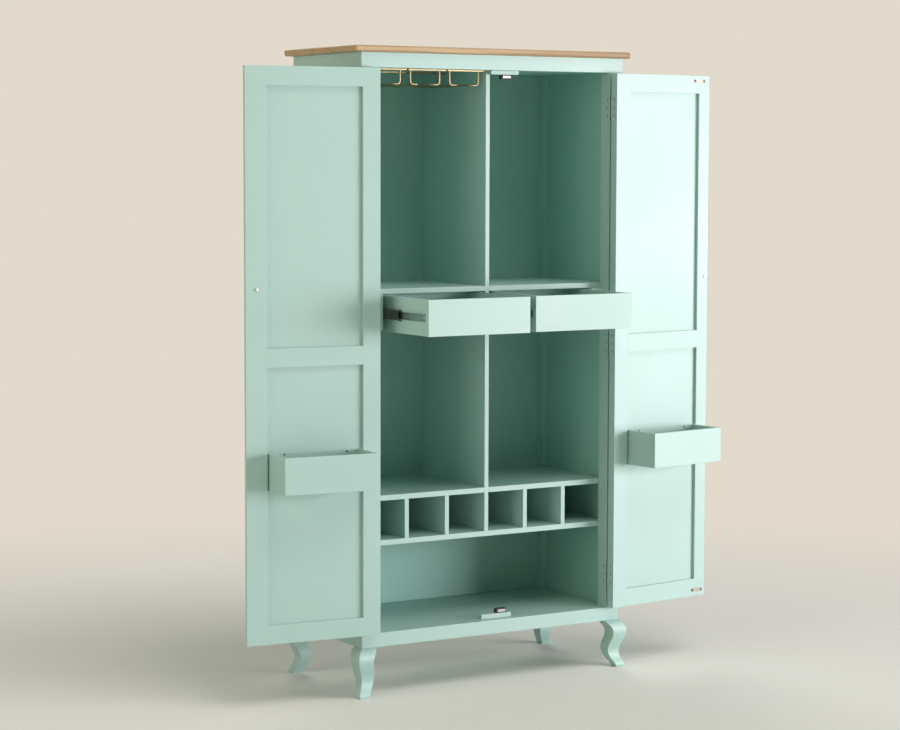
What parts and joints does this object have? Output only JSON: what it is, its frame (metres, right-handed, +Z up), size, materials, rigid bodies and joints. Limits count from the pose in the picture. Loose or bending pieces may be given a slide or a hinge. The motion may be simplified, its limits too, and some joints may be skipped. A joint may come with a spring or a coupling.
{
  "type": "bar armoire",
  "caption": "Tall painted bar cabinet on cabriole legs with panelled double doors, door trays, drawers on slides, a bottle rack and a hanging stemware rack.",
  "frame": {"origin": "on the floor, midway between the side panels and under the middle of the whole depth as it stands open; the longer left door puts the middle of the whole width about 6 mm to the left", "axes": "+Z up, +Y from the open front to the back, +X to the right as seen from the front"},
  "size_m": [1.5546, 0.6244, 1.8],
  "materials": {
    "mint_paint": "satin paint on wood",
    "oiled_wood": "oiled, matt",
    "raw_wood": "bare",
    "brass": "polished",
    "hinge_steel": "satin paint over steel",
    "zinc_steel": "bright zinc",
    "bolt_steel": "plain zinc",
    "black_plastic": "matt",
    "magnet": "bright pole plates over a magnet"
  },
  "bodies": {
    "carcass": {"back_panel": "mint_paint", "bottom_board": "mint_paint", "catch_blocks": "mint_paint", "catch_cases": "black_plastic", "catch_magnets": "magnet", "ceiling_board": "mint_paint", "centre_partition": "mint_paint", "corner_blocks": "raw_wood", "front_post_left": "mint_paint", "front_post_right": "mint_paint", "glass_rack_straps": "brass", "glass_rack_wires": "brass", "header_rail": "mint_paint", "hinge_pins": "hinge_steel", "leg_bolts": "bolt_steel", "leg_front_left": "mint_paint", "leg_front_right": "mint_paint", "leg_rear_left": "mint_paint", "leg_rear_right": "mint_paint", "plinth_frame_rails": "mint_paint", "plinth_rail": "mint_paint", "post_hinge_leaves": "hinge_steel", "rack_bottom_shelf": "mint_paint", "rack_dividers": "mint_paint", "rack_top_shelves": "mint_paint", "rear_posts": "mint_paint", "side_panel_left": "mint_paint", "side_panel_right": "mint_paint", "slide_outer_members": "zinc_steel", "slide_packers": "mint_paint", "top_board": "oiled_wood", "top_frame_rails": "mint_paint", "upper_shelves": "mint_paint"},
    "left_door": {"left_door_hinge_leaves": "hinge_steel", "left_door_knob": "brass", "left_door_panels": "mint_paint", "left_door_rails": "mint_paint", "left_door_stiles": "mint_paint", "left_door_tray": "mint_paint", "left_knob_bolt": "bolt_steel"},
    "right_door": {"right_door_hinge_leaves": "hinge_steel", "right_door_knob": "brass", "right_door_panels": "mint_paint", "right_door_rails": "mint_paint", "right_door_stiles": "mint_paint", "right_door_strikes": "bolt_steel", "right_door_tray": "mint_paint", "right_knob_bolt": "bolt_steel"},
    "left_drawer": {"left_drawer_bottom": "mint_paint", "left_drawer_box": "mint_paint", "left_drawer_front": "mint_paint", "left_slide_inner_members": "zinc_steel"},
    "right_drawer": {"right_drawer_bottom": "mint_paint", "right_drawer_box": "mint_paint", "right_drawer_front": "mint_paint", "right_slide_inner_members": "zinc_steel"},
    "left_slide_middle": {"left_slide_ball_cages": "black_plastic", "left_slide_middle_members": "zinc_steel"},
    "right_slide_middle": {"right_slide_ball_cages": "black_plastic", "right_slide_middle_members": "zinc_steel"}
  },
  "joints": [
    {"name": "left_door_swing", "type": "hinge", "parent": "carcass", "child": "left_door", "pos_m": [-0.387, -0.10995, 0.958], "axis": [0, 0, 1], "range_deg": [0, 185]},
    {"name": "right_door_swing", "type": "hinge", "parent": "carcass", "child": "right_door", "pos_m": [0.387, -0.10995, 0.958], "axis": [0, 0, -1], "range_deg": [0, 188.2]},
    {"name": "left_drawer_slide", "type": "slide", "parent": "carcass", "child": "left_drawer", "axis": [0, 1, 0], "range_m": [0, 0.2742]},
    {"name": "right_drawer_slide", "type": "slide", "parent": "carcass", "child": "right_drawer", "axis": [0, 1, 0], "range_m": [0, 0.2552]},
    {"name": "left_slide_travel", "type": "slide", "parent": "carcass", "child": "left_slide_middle", "axis": [0, 1, 0], "range_m": [0, 0.1372]},
    {"name": "right_slide_travel", "type": "slide", "parent": "carcass", "child": "right_slide_middle", "axis": [0, 1, 0], "range_m": [0, 0.1277]}
  ],
  "couplings": [
    {"joint": "left_drawer_slide", "follows": "left_door_swing", "m_per_rad": 0.08486},
    {"joint": "left_slide_travel", "follows": "left_door_swing", "m_per_rad": 0.04243},
    {"joint": "right_drawer_slide", "follows": "right_door_swing", "m_per_rad": 0.077632},
    {"joint": "right_slide_travel", "follows": "right_door_swing", "m_per_rad": 0.038816}
  ]
}
